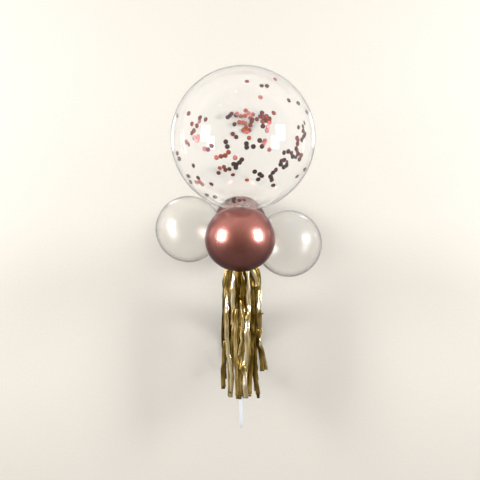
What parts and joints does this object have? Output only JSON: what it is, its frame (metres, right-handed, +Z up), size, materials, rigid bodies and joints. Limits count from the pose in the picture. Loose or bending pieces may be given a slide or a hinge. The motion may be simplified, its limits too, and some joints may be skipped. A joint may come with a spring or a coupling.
{
  "type": "bubble balloon",
  "caption": "Clear bubble balloon on a plastic stick, with a collar of small round balloons and a foil tassel, lying on its back.",
  "frame": {"origin": "centre of the flat spot under the bubble, on the surface that the object lies on", "axes": "+Z up, towards the side that shows; +Y along the stick from its free end towards the bubble; +X to the right of that side as it is looked at from above with the bubble at the top"},
  "size_m": [0.2982, 0.6509, 0.2779],
  "materials": {
    "film": "clear stretched film, very glossy",
    "clear_latex": "clear latex, slightly milky, satin",
    "chrome_latex": "latex with a metallic rose gold skin, glossy",
    "white_plastic": "white moulded and extruded plastic, satin",
    "gold_foil": "metallised champagne gold film, creased"
  },
  "bodies": {
    "root": {"bubble_balloon": "film", "clear_balloon_left": "clear_latex", "clear_balloon_right": "clear_latex", "chrome_balloon_front": "chrome_latex", "chrome_balloon_back": "chrome_latex", "neck_tie": "clear_latex", "balloon_cup": "white_plastic", "stick": "white_plastic", "tassel": "gold_foil"}
  },
  "joints": []
}
